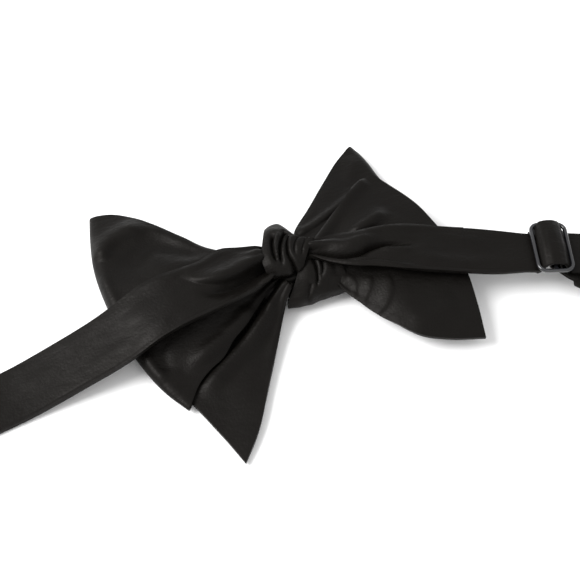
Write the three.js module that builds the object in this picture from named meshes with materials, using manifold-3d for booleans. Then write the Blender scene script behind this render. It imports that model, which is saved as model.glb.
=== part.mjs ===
// A hand-tied satin bow tie lying face down, its neck strap open: two blades gathered in one knot, a plain strap end
// with an eye, and an adjustable strap end with a slide buckle and a hook.
// Millimetres, +Z up. X runs along the bow, +Y up its height, and Z = 0 is the table under the knot.
import * as THREE from "three";
import { mergeVertices } from "three/addons/utils/BufferGeometryUtils.js";
import Module from "manifold-3d";

const wasm = await Module();
wasm.setup();

const degrees = THREE.MathUtils.degToRad;

// Cloth
const satin = 0.5; // satin skin of a blade
const clearance = 0.3; // air between two pieces that lie on each other
const canvas = 0.6; // woven interlining
const tailThickness = 2 * satin + 2 * clearance + canvas;
const loopHeight = 7.5; // a loop holds air between its two folded walls
const curveSteps = 7;

// Knot
const knotLeft = -11;
const knotRight = 7;
const knotWidth = 31;
const knotHeight = 20;
const knotWall = 3;
const knotMiddleY = 3.5;
const waistMiddleY = 0.5;
const hitchRight = 13.5;
const hitchWidth = 23;
const hitchHeight = 13.1;
const hitchMiddleY = 0.5;
const waistWidth = 13;

// Strap
const strapThickness = 1.9;
const strapSkin = 0.4;
const plainWidth = 21.5;
const plainYaw = 193.3;
const plainMiddleY = 4;
const plainRoot = 14.5; // gathered strap that the knot holds
const plainRootHeight = 15.2;
const plainLength = 186; // knot middle to the eye's bar
const plainEnd = -12.85; // middle of the strap at the eye, from its root height
const adjustWidth = 18;
const adjustYaw = -14.4;
const adjustMiddleY = 6;
const adjustPitch = 4.17;
const adjustRoot = 12;
const adjustHeight = 19.8; // plane of the slide buckle, carried back to the knot
const adjustLength = 195; // knot middle to the hook's bar

// Metal
const wire = 1.6;
const wireRound = 0.35;
const slideReach = 93; // knot middle to the slide buckle's middle
const slideLength = 20.4;
const slideWidth = 12.6;
const crestThickness = 1.2; // strap squeezed in the buckle
const underBar = -2.2; // middle of the strap below the buckle's outer bars
const overBar = 3.0; // middle of the strap above its centre bar
const returnHeight = -4.2; // middle of the strand that comes back from the hook
const eyeLength = 24;
const eyeWidth = 11.5;
const eyeTilt = 8;
const hookTilt = 1.6;
const hookFrameWidth = 7;
const tongueWidth = 8;

const blackSatin = { color: 0x1d1c1d, roughness: 0.45, metalness: 0 };
const naturalCanvas = { color: 0xcfc6b2, roughness: 0.9, metalness: 0 };
const blackThread = { color: 0x121212, roughness: 0.8, metalness: 0 };
const blackMetal = { color: 0x26262a, roughness: 0.3, metalness: 0.9 };

// --- Solids ---

function toSolid(geometry) {
  const bare = geometry.clone();
  bare.deleteAttribute("normal");
  bare.deleteAttribute("uv");
  const merged = mergeVertices(bare, 1e-4);
  return new wasm.Manifold(
    new wasm.Mesh({
      numProp: 3,
      vertProperties: merged.attributes.position.array,
      triVerts: new Uint32Array(merged.index.array),
    }),
  );
}

function toGeometry(solid) {
  const mesh = solid.getMesh();
  const geometry = new THREE.BufferGeometry();
  geometry.setAttribute("position", new THREE.BufferAttribute(mesh.vertProperties, 3));
  geometry.setIndex(new THREE.BufferAttribute(mesh.triVerts, 1));
  geometry.computeVertexNormals();
  return geometry;
}

function piece(name, shape, finish) {
  const geometry = shape.isBufferGeometry ? shape : toGeometry(shape);
  const mesh = new THREE.Mesh(geometry, new THREE.MeshStandardMaterial(finish));
  mesh.name = name;
  return mesh;
}

// A flat outline raised from height low to height high.
function slab(points, low, high) {
  const geometry = new THREE.ExtrudeGeometry(new THREE.Shape(points), {
    depth: high - low,
    bevelEnabled: false,
  });
  return toSolid(geometry.translate(0, 0, low));
}

function block(x0, x1, y0, y1, z0, z1) {
  const geometry = new THREE.BoxGeometry(x1 - x0, y1 - y0, z1 - z0);
  return toSolid(geometry.translate((x0 + x1) / 2, (y0 + y1) / 2, (z0 + z1) / 2));
}

function roundedRectangle(width, height, radius) {
  const x = width / 2;
  const y = height / 2;
  const path = new THREE.Shape();
  path.moveTo(x, y - radius);
  path.absarc(x - radius, y - radius, radius, 0, Math.PI / 2);
  path.absarc(radius - x, y - radius, radius, Math.PI / 2, Math.PI);
  path.absarc(radius - x, radius - y, radius, Math.PI, 1.5 * Math.PI);
  path.absarc(x - radius, radius - y, radius, 1.5 * Math.PI, 2 * Math.PI);
  path.closePath();
  return path;
}

// A profile drawn in X and Z, run along Y and centred on Y = 0.
function acrossStrap(profile, width) {
  const geometry = new THREE.ExtrudeGeometry(profile, {
    depth: width,
    bevelEnabled: false,
    curveSegments: 10,
  });
  return toSolid(geometry.translate(0, 0, -width / 2).rotateX(Math.PI / 2));
}

// A section drawn in Y and Z, run along X from start to end.
function alongX(section, start, end) {
  const geometry = new THREE.ExtrudeGeometry(section, {
    depth: end - start,
    bevelEnabled: false,
    curveSegments: 4,
  });
  const turn = new THREE.Matrix4().set(0, 0, 1, start, 1, 0, 0, 0, 0, 1, 0, 0, 0, 0, 0, 1);
  return toSolid(geometry.applyMatrix4(turn));
}

// --- Blades ---

// An edge is a start point, then control and end points of quadratic curves.
function edgePoints(start, ...curves) {
  const points = [new THREE.Vector2(...start)];
  let from = points[0];
  for (const [cx, cy, x, y] of curves) {
    const to = new THREE.Vector2(x, y);
    const curve = new THREE.QuadraticBezierCurve(from, new THREE.Vector2(cx, cy), to);
    points.push(...curve.getPoints(curveSteps).slice(1));
    from = to;
  }
  return points;
}

// Moves each point of an edge towards the blade's inside, which is on its left.
function inward(edge, distance) {
  return edge.map((point, i) => {
    const before = edge[Math.max(i - 1, 0)];
    const after = edge[Math.min(i + 1, edge.length - 1)];
    const along = after.clone().sub(before).normalize();
    return new THREE.Vector2(point.x - along.y * distance, point.y + along.x * distance);
  });
}

// A blade has a lower side edge, a free end or fold, and an upper side edge, in anticlockwise order from the knot
// on the right of the bow; a left blade is drawn mirrored.
function outline(blade, sideIn, endIn) {
  const lower = inward(blade.lower, sideIn);
  const end = inward(blade.end, endIn);
  const upper = inward(blade.upper, sideIn);
  // Where two edges are moved by different amounts, the corner is where their end pieces would cross.
  return [
    ...lower.slice(0, -1),
    crossing(lower.at(-2), lower.at(-1), end[0], end[1]),
    ...end.slice(1, -1),
    crossing(end.at(-2), end.at(-1), upper[0], upper[1]),
    ...upper.slice(1),
  ];
}

function crossing(a, b, c, d) {
  const first = b.clone().sub(a);
  const second = d.clone().sub(c);
  const share = c.clone().sub(a).cross(second) / first.cross(second);
  return a.clone().addScaledVector(first, share);
}

// Opens a cavity at the knot end of a blade.
function mouth(blade, inset, low, high) {
  const [bottom, top] = [blade.lower[0], blade.upper.at(-1)];
  const x = Math.max(bottom.x, top.x);
  return block(
    Math.min(bottom.x, top.x) - 1,
    x + 2 * satin,
    bottom.y + inset,
    top.y - inset,
    low,
    high,
  );
}

function tailPieces(blade) {
  const inside = satin + clearance;
  const shell = slab(outline(blade, 0, 0), 0, tailThickness)
    .subtract(slab(outline(blade, satin, satin), satin, tailThickness - satin))
    .subtract(mouth(blade, satin, satin, tailThickness - satin));
  const lining = slab(outline(blade, inside, inside), inside, inside + canvas);
  return { shell, lining };
}

// The loop's two walls meet in a fold at its outer end, and are open along both side edges.
function loopPieces(blade) {
  const inside = satin + clearance;
  const wall = tailThickness;
  const open = -3;
  const gap = (depth) => slab(outline(blade, open, depth), depth, loopHeight - depth);
  const knotSide = (depth) => mouth(blade, -3, depth, loopHeight - depth);
  const pocket = slab(outline(blade, satin, satin), satin, loopHeight - satin)
    .add(mouth(blade, satin, satin, loopHeight - satin))
    .subtract(gap(wall - satin))
    .subtract(knotSide(wall - satin));
  const shell = slab(outline(blade, 0, 0), 0, loopHeight)
    .subtract(gap(wall))
    .subtract(knotSide(wall))
    .subtract(pocket);
  const lining = slab(outline(blade, inside, inside), inside, loopHeight - inside)
    .subtract(gap(inside + canvas))
    .subtract(knotSide(inside + canvas));
  return { shell, lining };
}

// Sets the two pieces of a blade at their height, sinking by tilt degrees away from the knot.
function bladeGroup(name, pieces, { left, rootHeight, tilt }) {
  const group = new THREE.Group();
  const side = left ? -1 : 1;
  for (const [part, finish] of [["shell", blackSatin], ["lining", naturalCanvas]]) {
    const label = part === "lining" ? "interlining" : part;
    const solid = left ? pieces[part].mirror([1, 0, 0]) : pieces[part];
    group.add(piece(`${name}_${label}`, solid, finish));
  }
  group.position.z = rootHeight;
  group.rotation.y = side * degrees(tilt);
  return group;
}

const root = new THREE.Group();

const frontTail = {
  lower: edgePoints([12, -8], [20, -38, 35, -66.5]),
  end: edgePoints([35, -66.5], [53, -34, 66, 4]),
  upper: edgePoints([66, 4], [40, 6, 12, 7]),
};
const frontLoop = {
  lower: edgePoints([14.5, -7], [34, -14, 53, -19]),
  end: edgePoints([53, -19], [50, 20, 36.5, 55.5]),
  upper: edgePoints([36.5, 55.5], [26, 45, 14.5, 30]),
};
const backLoop = {
  lower: edgePoints([12, -7.5], [30, -24, 48.5, -42.5]),
  end: edgePoints([48.5, -42.5], [77, 5, 66, 45]),
  upper: edgePoints([66, 45], [50, 42, 12, 9]),
};
const backTail = {
  lower: edgePoints([14.5, -13], [32, -37, 57, -42]),
  end: edgePoints([57, -42], [64, -7, 39, 34]),
  upper: edgePoints([39, 34], [26, 25, 14.5, 13]),
};

root.add(
  bladeGroup("front_tail", tailPieces(frontTail), { left: true, rootHeight: 4.3, tilt: 3.7 }),
  bladeGroup("front_loop", loopPieces(frontLoop), { left: false, rootHeight: 0, tilt: 0 }),
  bladeGroup("back_loop", loopPieces(backLoop), { left: true, rootHeight: 7.3, tilt: 4.2 }),
  bladeGroup("back_tail", tailPieces(backTail), { left: false, rootHeight: 11, tilt: 2.4 }),
);

// --- Knot ---

// A cloth turn round the waist of the bow, from start to end along X.
function turnRound(start, end, width, height, middle) {
  const section = roundedRectangle(width, height, 0.4 * height);
  section.holes.push(roundedRectangle(width - 2 * knotWall, height - 2 * knotWall, 0.1 * width));
  return alongX(section, start, end).translate([0, middle, height / 2]);
}

const waistBottom = knotWall + clearance;
const waistThickness = 3;
const waistMiddle = waistBottom + waistThickness + clearance;
const waist = (low) =>
  block(
    knotLeft - clearance,
    hitchRight + clearance,
    waistMiddleY - waistWidth / 2,
    waistMiddleY + waistWidth / 2,
    low,
    low + waistThickness,
  );

root.add(
  piece("knot_wrap", turnRound(knotLeft, knotRight, knotWidth, knotHeight, knotMiddleY), blackSatin),
  piece(
    "knot_hitch",
    turnRound(knotRight + clearance, hitchRight, hitchWidth, hitchHeight, hitchMiddleY),
    blackSatin,
  ),
  piece("front_waist", waist(waistBottom), blackSatin),
  piece("back_waist", waist(waistMiddle), blackSatin),
);

// --- Strap ---

// A strap's own frame has X along it, away from the knot, and Z up through its thickness.
function strapFrame(middleY, height, yaw, pitch) {
  const frame = new THREE.Group();
  frame.position.set(0, middleY, height);
  frame.rotation.set(0, degrees(pitch), degrees(yaw), "ZYX");
  return frame;
}

// A band of one thickness along a line of points in X and Z, run across the strap. Extra lengthens both its ends.
function band(line, thickness, width, extra = 0) {
  const middle = new THREE.SplineCurve(line.map(([x, z]) => new THREE.Vector2(x, z))).getPoints(
    4 * (line.length - 1),
  );
  for (const [end, next] of [[0, 1], [middle.length - 1, middle.length - 2]]) {
    const outward = middle[end].clone().sub(middle[next]).normalize();
    middle[end].addScaledVector(outward, extra);
  }
  const lower = inward(middle, -thickness / 2);
  const upper = inward(middle, thickness / 2);
  return acrossStrap(new THREE.Shape([...lower, ...upper.reverse()]), width);
}

function strapTube(line, width, thickness = strapThickness) {
  const hollow = band(line, thickness - 2 * strapSkin, width - 2 * strapSkin, 1);
  return band(line, thickness, width).subtract(hollow);
}

function strapCore(line, width) {
  const gap = 2 * (strapSkin + clearance);
  return band(line, strapThickness - 2 * strapSkin - 0.5, width - gap, -0.5);
}

// The gathered stretch that the knot grips, growing to the strap's full width.
function strapRoot(length, width, middle) {
  const narrow = 4;
  const half = width / 2;
  const points = [
    [2.2, -narrow],
    [length - clearance, -half],
    [length - clearance, half],
    [2.2, narrow],
  ].map(([x, y]) => new THREE.Vector2(x, y));
  return slab(points, middle - strapThickness / 2, middle + strapThickness / 2);
}

// A strap end folded round a bar at x = barX, and its stitched tail that starts at tailX.
function foldedEnd(tailX, barX, middle, inner, outer, tailHalf) {
  const profile = new THREE.Shape();
  const start = Math.PI - Math.asin(tailHalf / outer);
  profile.moveTo(tailX, -tailHalf);
  profile.lineTo(barX + outer * Math.cos(start), -tailHalf);
  profile.absarc(barX, 0, outer, -start, start);
  profile.lineTo(tailX, tailHalf);
  profile.closePath();
  const hole = new THREE.Path().absarc(barX, 0, inner, 0, 2 * Math.PI);
  profile.holes.push(hole);
  return (width) => acrossStrap(profile, width).translate([0, 0, middle]);
}

function wireFrame(length, width, bars) {
  const outer = roundedRectangle(width - 2 * wireRound, length - 2 * wireRound, 2);
  const inner = wire - 2 * wireRound;
  const bar = (width - wire * (bars + 1)) / bars + 2 * wireRound;
  for (let i = 0; i < bars; i++) {
    const window = roundedRectangle(bar, length - 2 * (wireRound + inner), 0.7);
    const x = (i - (bars - 1) / 2) * (bar + inner);
    outer.holes.push(new THREE.Path(window.getPoints(3).map((p) => new THREE.Vector2(p.x + x, p.y))));
  }
  const geometry = new THREE.ExtrudeGeometry(outer, {
    depth: inner,
    bevelEnabled: true,
    bevelSize: wireRound,
    bevelThickness: wireRound,
    bevelSegments: 2,
    curveSegments: 3,
  });
  return toSolid(geometry.translate(0, 0, -inner / 2));
}

// Plain strap end, with the eye that the hook catches. It rises over the loop and comes down to the table.
const plain = strapFrame(plainMiddleY, plainRootHeight, plainYaw, 0);
const tackX = plainLength - 9;
const plainLine = [
  [plainRoot, 0],
  [25, 1],
  [38, 1.4],
  [48, 1],
  [57, -0.9],
  [66, -3.6],
  [75, -6.2],
  [84, -8.6],
  [95, -11.2],
  [108, -13.4],
  [122, -14.05],
  [145, -14.05],
  [162, -13.5],
  [tackX - 3, plainEnd],
];
plain.add(
  piece("left_strap_root", strapRoot(plainRoot, plainWidth - 6, 0), blackSatin),
  piece("left_strap_shell", strapTube(plainLine, plainWidth), blackSatin),
  piece("left_strap_interlining", strapCore(plainLine, plainWidth), naturalCanvas),
  piece(
    "eye_fold",
    foldedEnd(tackX - 3 + clearance, plainLength, plainEnd, 1.35, 2.3, strapThickness / 2)(plainWidth - 2),
    blackSatin,
  ),
  piece(
    "eye_bar_tack",
    block(tackX, tackX + 1.8, -6.5, 6.5, plainEnd + strapThickness / 2 + 0.1, plainEnd + strapThickness / 2 + 0.6),
    blackThread,
  ),
);
const eye = new THREE.Group();
eye.add(
  piece("eye_ring", wireFrame(eyeLength, eyeWidth, 1).translate([(eyeWidth - wire) / 2, 0, 0]), blackMetal),
);
eye.position.set(plainLength, 0, plainEnd);
eye.rotation.y = degrees(eyeTilt);
plain.add(eye);
root.add(plain);

// Adjustable strap end. Z = 0 of its frame is the middle plane of the slide buckle.
const adjust = strapFrame(adjustMiddleY, adjustHeight, adjustYaw, adjustPitch);
const crestReach = 9;
const slideStart = slideReach - crestReach;
const slideEnd = slideReach + crestReach;
const hookFoldStart = adjustLength - 12;
const turnMiddle = (underBar + returnHeight) / 2;

const adjustLine = [
  [adjustRoot, underBar - 1.9],
  [22, underBar + 0.2],
  [33, underBar + 1],
  [45, underBar + 0.6],
  [60, underBar + 0.2],
  [74, underBar],
  [slideStart - clearance, underBar],
];
// The strap inside the buckle: under one outer bar, over the centre bar and under the other.
const crestLine = [
  [-crestReach, underBar],
  [-7.2, underBar],
  [-5.4, underBar],
  [-4.1, -1.25],
  [-3.35, 0.5],
  [-2.2, 2.3],
  [0, overBar],
  [2.2, 2.3],
  [3.35, 0.5],
  [4.1, -1.25],
  [5.4, underBar],
  [7.2, underBar],
  [crestReach, underBar],
];
const outerLine = [
  [slideEnd + clearance, underBar + 0.1],
  [hookFoldStart - clearance, underBar + 0.1],
];
const returnLine = outerLine.map(([x]) => [x, returnHeight - 0.1]);

// The strap's sewn end: a fold round the centre bar, running down to meet the returning strand.
function slideFold() {
  const tail = new THREE.Shape();
  tail.moveTo(-0.6, -1.2);
  tail.lineTo(0.5, -1.75);
  tail.lineTo(6.2, returnHeight + 0.6);
  tail.lineTo(crestReach - clearance, returnHeight + 0.6);
  tail.lineTo(crestReach - clearance, returnHeight - 0.6);
  tail.lineTo(5.6, returnHeight - 0.6);
  tail.lineTo(-1.2, -1.5);
  tail.closePath();
  const ring = new THREE.Shape().absarc(0, 0, 2, 0, 2 * Math.PI);
  const barHole = acrossStrap(new THREE.Shape().absarc(0, 0, 1.25, 0, 2 * Math.PI), adjustWidth);
  return acrossStrap(ring, adjustWidth - 2)
    .add(acrossStrap(tail, adjustWidth - 2))
    .subtract(barHole)
    .translate([slideReach, 0, 0]);
}

function hookShape() {
  const frame = wireFrame(slideLength, hookFrameWidth, 1).translate([(hookFrameWidth - wire) / 2, 0, 0]);
  const start = hookFrameWidth - wire - 0.3;
  const reach = 9;
  const bend = 1.9;
  const half = 0.5;
  const tongue = new THREE.Shape();
  tongue.moveTo(start, -half);
  tongue.lineTo(start + reach, -half);
  tongue.absarc(start + reach, bend, bend + half, -Math.PI / 2, Math.PI / 2);
  tongue.lineTo(start + 3, 2 * bend + half);
  tongue.lineTo(start + 1.5, 2 * bend + 1.2 + half);
  tongue.lineTo(start + 1.2, 2 * bend + 0.6);
  tongue.lineTo(start + 3, 2 * bend - half);
  tongue.lineTo(start + reach, 2 * bend - half);
  tongue.absarc(start + reach, bend, bend - half, Math.PI / 2, -Math.PI / 2, true);
  tongue.lineTo(start, half);
  tongue.closePath();
  return frame.add(acrossStrap(tongue, tongueWidth));
}

adjust.add(
  piece("right_strap_root", strapRoot(adjustRoot, adjustWidth - 5, underBar - 1.9), blackSatin),
  piece("right_strap_shell", strapTube(adjustLine, adjustWidth), blackSatin),
  piece("right_strap_interlining", strapCore(adjustLine, adjustWidth), naturalCanvas),
  piece(
    "slide_strap_crest",
    band(crestLine, crestThickness, slideLength - 2 * wire - 2 * clearance).translate([slideReach, 0, 0]),
    blackSatin,
  ),
  piece("slide_buckle", wireFrame(slideLength, slideWidth, 2).translate([slideReach, 0, 0]), blackMetal),
  piece("slide_sewn_fold", slideFold(), blackSatin),
  piece(
    "slide_bar_tack",
    block(slideReach + 6.4, slideReach + 8, -5.5, 5.5, returnHeight - 1.2, returnHeight - 0.7),
    blackThread,
  ),
  piece("outer_strap_strand", strapTube(outerLine, adjustWidth - 0.5, 1.4), blackSatin),
  piece("return_strap_strand", strapTube(returnLine, adjustWidth - 0.5, 1.4), blackSatin),
  piece(
    "hook_fold",
    foldedEnd(hookFoldStart, adjustLength, turnMiddle, 1.35, 2.3, 1.7)(adjustWidth - 1.4),
    blackSatin,
  ),
);
const hook = new THREE.Group();
hook.add(piece("hook", hookShape(), blackMetal));
hook.position.set(adjustLength, 0, turnMiddle);
hook.rotation.y = degrees(hookTilt);
adjust.add(hook);
root.add(adjust);

export default root;
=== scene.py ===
import math

import bmesh
import bpy
import numpy as np
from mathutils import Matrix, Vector


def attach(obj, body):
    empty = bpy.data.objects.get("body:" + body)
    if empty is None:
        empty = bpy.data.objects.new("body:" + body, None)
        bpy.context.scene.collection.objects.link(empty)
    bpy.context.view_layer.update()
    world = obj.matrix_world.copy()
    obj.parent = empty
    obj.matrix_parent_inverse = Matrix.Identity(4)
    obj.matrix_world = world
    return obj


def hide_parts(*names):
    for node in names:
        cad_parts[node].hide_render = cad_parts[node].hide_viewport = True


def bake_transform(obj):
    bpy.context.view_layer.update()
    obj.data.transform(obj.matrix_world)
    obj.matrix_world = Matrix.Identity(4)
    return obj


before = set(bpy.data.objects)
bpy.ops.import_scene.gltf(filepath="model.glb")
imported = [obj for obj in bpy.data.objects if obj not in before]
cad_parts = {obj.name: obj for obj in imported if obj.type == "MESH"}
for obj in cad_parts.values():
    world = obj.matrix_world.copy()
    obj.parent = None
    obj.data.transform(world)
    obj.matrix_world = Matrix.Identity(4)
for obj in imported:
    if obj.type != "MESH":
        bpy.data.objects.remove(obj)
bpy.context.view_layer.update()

# A hand-tied bow tie in black satin, lying face down with its neck strap open.
# Shapes are worked out in millimetres and placed in metres.
mm = 0.001
scene = bpy.context.scene

view = {"azimuth": -15, "elevation": 55, "distance": 540, "target": (-2.4, -0.8, 0), "lens": 93.1}


def makeCamera():
    turn, rise = math.radians(view["azimuth"]), math.radians(view["elevation"])
    back = Vector((math.sin(turn) * math.cos(rise), -math.cos(turn) * math.cos(rise), math.sin(rise)))
    camera = bpy.data.objects.new("camera", bpy.data.cameras.new("camera"))
    camera.data.lens = view["lens"]
    camera.data.clip_start, camera.data.clip_end = 0.01, 20
    camera.location = (Vector(view["target"]) + back * view["distance"]) * mm
    camera.rotation_mode = "QUATERNION"
    camera.rotation_quaternion = (-back).to_track_quat("-Z", "Y")
    scene.collection.objects.link(camera)
    scene.camera = camera


makeCamera()
print("camera placed")

studio = {
    "world": 0.85,
    "key": {"place": (-0.95, 0.15, 1.0), "size": 0.8, "power": 24, "aim": (0, 0, 0)},
    "fill": {"place": (0.25, -0.8, 1.1), "size": 0.6, "power": 1, "aim": (0, 0, 0)},
}


def makeStudio():
    scene.world = bpy.data.worlds.new("white room")
    scene.world.use_nodes = True
    scene.world.node_tree.nodes["Background"].inputs["Color"].default_value = (1, 1, 1, 1)
    scene.world.node_tree.nodes["Background"].inputs["Strength"].default_value = studio["world"]
    for name in ("key", "fill"):
        facts = studio[name]
        lamp = bpy.data.lights.new(name, "AREA")
        lamp.energy, lamp.size = facts["power"], facts["size"]
        light = bpy.data.objects.new(name, lamp)
        light.location = facts["place"]
        light.rotation_mode = "QUATERNION"
        aim = Vector(facts["aim"]) - Vector(facts["place"])
        light.rotation_quaternion = aim.to_track_quat("-Z", "Y")
        scene.collection.objects.link(light)
    scene.view_settings.view_transform = "Standard"


makeStudio()


# Curves and folds
def between(low, high, x):  # soft step from 0 at low to 1 at high
    t = np.clip((x - low) / (high - low), 0, 1)
    return t * t * (3 - 2 * t)


def smooth(places, values, x):  # smooth values at x through a few known places
    places, values = np.array(places, float), np.array(values, float)
    slope = np.gradient(values, places, axis=0)
    x = np.clip(x, places[0], places[-1])
    i = np.clip(np.searchsorted(places, x, side="right") - 1, 0, len(places) - 2)
    gap = places[i + 1] - places[i]
    r = (x - places[i]) / gap
    if values.ndim > 1:
        r, gap = r[:, None], gap[:, None]
    start = values[i] * (1 + 2 * r) * (1 - r) ** 2 + slope[i] * gap * r * (1 - r) ** 2
    return start + values[i + 1] * r * r * (3 - 2 * r) - slope[i + 1] * gap * r * r * (1 - r)


def table(rows, x):  # smooth value at x from pairs of (place, value)
    places, values = zip(*rows)
    return smooth(places, values, x)


def through(points, t):  # smooth line through points, t from 0 to 1 along its length
    points = np.array(points, float)
    steps = np.linalg.norm(np.diff(points, axis=0), axis=1)
    return smooth(np.append(0, np.cumsum(steps)) / steps.sum(), points, t)


def fold(x, y, line, height, left, right, ends=(0.2, 0.2)):
    # A ridge, or a valley where height is negative, along a line.
    # Its left and right sides have their own widths.
    spots = through(line, np.linspace(0, 1, 25))
    step = np.diff(spots, axis=0)
    offset = np.stack([x, y], -1)[:, None, :] - spots[:-1]
    t = np.clip((offset * step).sum(-1) / (step**2).sum(-1), 0, 1)
    gap = offset - t[..., None] * step
    distance = np.hypot(gap[..., 0], gap[..., 1])
    near = distance.argmin(-1)
    row = np.arange(len(near))
    side = step[near, 0] * gap[row, near, 1] - step[near, 1] * gap[row, near, 0]
    along = (near + t[row, near]) / len(step)
    width = np.where(side > 0, left, right)
    reach = between(-1e-6, ends[0] + 1e-6, along) * between(-1e-6, ends[1] + 1e-6, 1 - along)
    return height * np.exp(-((distance[row, near] / width) ** 2)) * reach


def folds(x, y, lines):
    return sum(fold(x, y, *line) for line in lines)


def crumple(x, y, size, seed):  # soft unevenness of pressed cloth, from -1 to 1
    chance = np.random.default_rng(seed)
    total = np.zeros_like(x)
    for angle, phase, stretch in chance.uniform((0, 0, 0.7), (math.pi, 6.28, 1.5), (9, 3)):
        total += np.sin((x * math.cos(angle) + y * math.sin(angle)) * 6.28 / (size * stretch) + phase)
    return total / 5


# Cloth
def clothGrid(name, columns, rows, place):
    # place(u, v) gives spots and the cloth's flat coordinates, in mm.
    grid = bmesh.new()
    bmesh.ops.create_grid(grid, x_segments=columns, y_segments=rows, size=0.5)
    grid.verts.index_update()
    square = np.array([vert.co[:2] for vert in grid.verts]) + 0.5
    spots, flat = place(square[:, 0], square[:, 1])
    weave = grid.loops.layers.uv.new("cloth")
    for vert, spot in zip(grid.verts, spots):
        vert.co = Vector(spot) * mm
    for face in grid.faces:
        for loop in face.loops:
            loop[weave].uv = flat[loop.vert.index] * mm
    bmesh.ops.remove_doubles(grid, verts=grid.verts, dist=2e-6)
    mesh = bpy.data.meshes.new(name)
    grid.to_mesh(mesh)
    grid.free()
    obj = bpy.data.objects.new(name, mesh)
    scene.collection.objects.link(obj)
    return obj


def settle(obj, sharp=50):  # makes the modifiers' result the mesh
    old = obj.data
    obj.data = bpy.data.meshes.new_from_object(obj.evaluated_get(bpy.context.evaluated_depsgraph_get()))
    obj.modifiers.clear()
    obj.data.name = obj.name
    bpy.data.meshes.remove(old)
    obj.data.shade_smooth()
    obj.data.set_sharp_from_angle(angle=math.radians(sharp))


def thicken(obj, thickness, edge):
    wall = obj.modifiers.new("wall", "SOLIDIFY")
    wall.thickness, wall.offset = thickness * mm, 0
    if edge:
        bevel = obj.modifiers.new("edge", "BEVEL")
        bevel.width, bevel.segments, bevel.limit_method = edge * mm, 3, "ANGLE"
        bevel.angle_limit = math.radians(50)
    settle(obj)


def finishPiece(obj, material, slot, nodes=(), body=None, bend=None, cut=None):
    obj.data.materials.append(material)
    # cut is the cloth's flat width and length in mm, how it is held, what it lies on,
    # and its flat area in cm2 where that isn't width by length.
    if cut:
        width, length, held, under, *area = cut
        area = area[0] * 1e-4 if area else None
    if nodes:
        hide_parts(*nodes)
    if body:
        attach(obj, body)
    if bend:
        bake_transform(obj)


# Materials
def linear(code):  # sRGB hex to linear
    parts = [int(code[i : i + 2], 16) / 255 for i in (1, 3, 5)]
    return [p / 12.92 if p <= 0.04045 else ((p + 0.055) / 1.055) ** 2.4 for p in parts] + [1]


def addNode(tree, kind, inputs=(), **settings):
    node = tree.nodes.new("ShaderNode" + kind)
    for name, value in settings.items():
        setattr(node, name, value)
    for name, value in dict(inputs).items():
        if isinstance(value, bpy.types.NodeSocket):
            tree.links.new(value, node.inputs[name])
        else:
            node.inputs[name].default_value = value
    return node


def newMaterial(name):
    material = bpy.data.materials.new(name)
    material.use_nodes = True
    return material, material.node_tree, material.node_tree.nodes["Principled BSDF"]


# Duchess satin, woven from black polyester: warp floats give it a broad soft shine,
# and handling leaves fine creases.
satinFacts = {
    "thread": 0.45,  # mm, drawn coarser than its 0.1 mm threads so that it shows
    "crease": 2.6,  # mm
    "crackle": 0.9,  # mm
    "dark": "#080706",
    "light": "#0e0c0a",
    "roughness": (0.4, 0.56),
}


def makeSatin():
    material, tree, shader = newMaterial("black duchess satin")
    cloth = addNode(tree, "UVMap", uv_map="cloth")
    run = addNode(
        tree, "Mapping", {"Vector": cloth.outputs["UV"], "Scale": (0.45, 1, 1)}
    )  # creases run along the warp
    crease = addNode(
        tree,
        "TexNoise",
        {"Vector": run.outputs[0], "Scale": 1 / (satinFacts["crease"] * mm), "Detail": 3, "Roughness": 0.62},
    )
    crackle = addNode(
        tree,
        "TexNoise",
        {
            "Vector": cloth.outputs["UV"],
            "Scale": 1 / (satinFacts["crackle"] * mm),
            "Detail": 2,
            "Roughness": 0.6,
        },
    )
    thread = addNode(
        tree,
        "TexWave",
        {
            "Vector": cloth.outputs["UV"],
            "Scale": 1 / (satinFacts["thread"] * mm * math.tau) * 2,
            "Distortion": 1.2,
            "Detail": 1,
        },
        bands_direction="Y",
    )
    cloudy = addNode(
        tree, "TexNoise", {"Vector": cloth.outputs["UV"], "Scale": 1 / (22 * mm), "Detail": 2}
    )
    shade = addNode(
        tree,
        "Mix",
        {"Factor": cloudy.outputs[0], "A": linear(satinFacts["dark"]), "B": linear(satinFacts["light"])},
        data_type="RGBA",
    )
    low, high = satinFacts["roughness"]
    dull = addNode(
        tree,
        "MapRange",
        {"Value": crease.outputs[0], "From Min": 0.3, "From Max": 0.7, "To Min": low, "To Max": high},
    )
    soft = addNode(tree, "Bump", {"Strength": 0.5, "Distance": 0.5 * mm, "Height": crease.outputs[0]})
    fine = addNode(
        tree,
        "Bump",
        {"Strength": 0.4, "Distance": 0.24 * mm, "Height": crackle.outputs[0], "Normal": soft.outputs[0]},
    )
    woven = addNode(
        tree,
        "Bump",
        {"Strength": 0.18, "Distance": 0.05 * mm, "Height": thread.outputs[0], "Normal": fine.outputs[0]},
    )
    shader.inputs["IOR"].default_value = 1.5
    shader.inputs["Specular IOR Level"].default_value = 0.12
    shader.inputs["Specular Tint"].default_value = (1, 0.96, 0.93, 1)
    tree.links.new(shade.outputs[2], shader.inputs["Base Color"])
    tree.links.new(dull.outputs[0], shader.inputs["Roughness"])
    tree.links.new(woven.outputs[0], shader.inputs["Normal"])
    return material


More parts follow.
